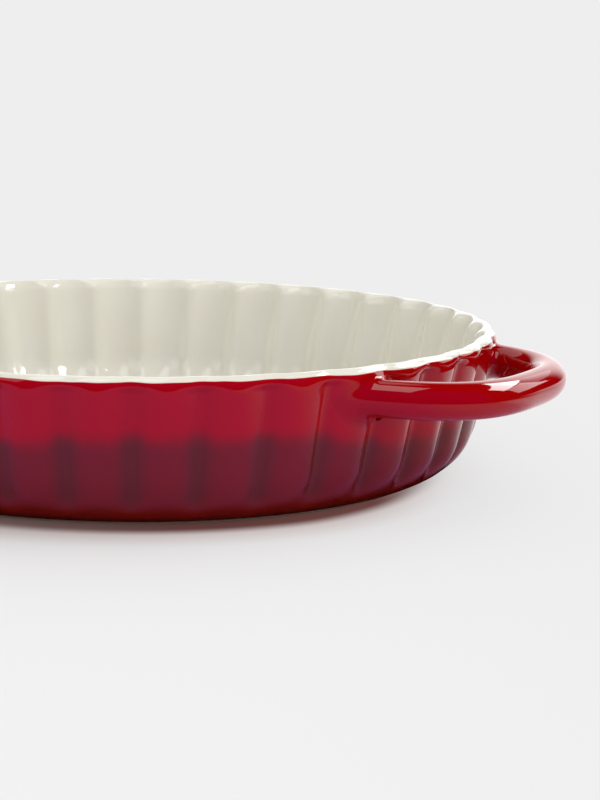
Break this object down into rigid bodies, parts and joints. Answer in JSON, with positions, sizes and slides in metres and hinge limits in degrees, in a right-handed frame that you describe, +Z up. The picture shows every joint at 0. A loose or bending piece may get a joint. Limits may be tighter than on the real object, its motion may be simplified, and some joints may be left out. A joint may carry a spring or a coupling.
{
  "type": "fluted baking dish",
  "caption": "Round open baking dish with a fluted wall and two loop handles, for baking and serving flans, tarts and gratins.",
  "frame": {"origin": "centre of the foot ring, in the plane that the dish stands on", "axes": "+X through the middle of one handle, +Z up out of the open top"},
  "size_m": [0.3418, 0.28, 0.054],
  "materials": {
    "glaze": "glossy, red outside shading to burgundy at the foot, cream inside and over the lip"
  },
  "bodies": {
    "root": {"baking_dish": "glaze"}
  },
  "joints": []
}
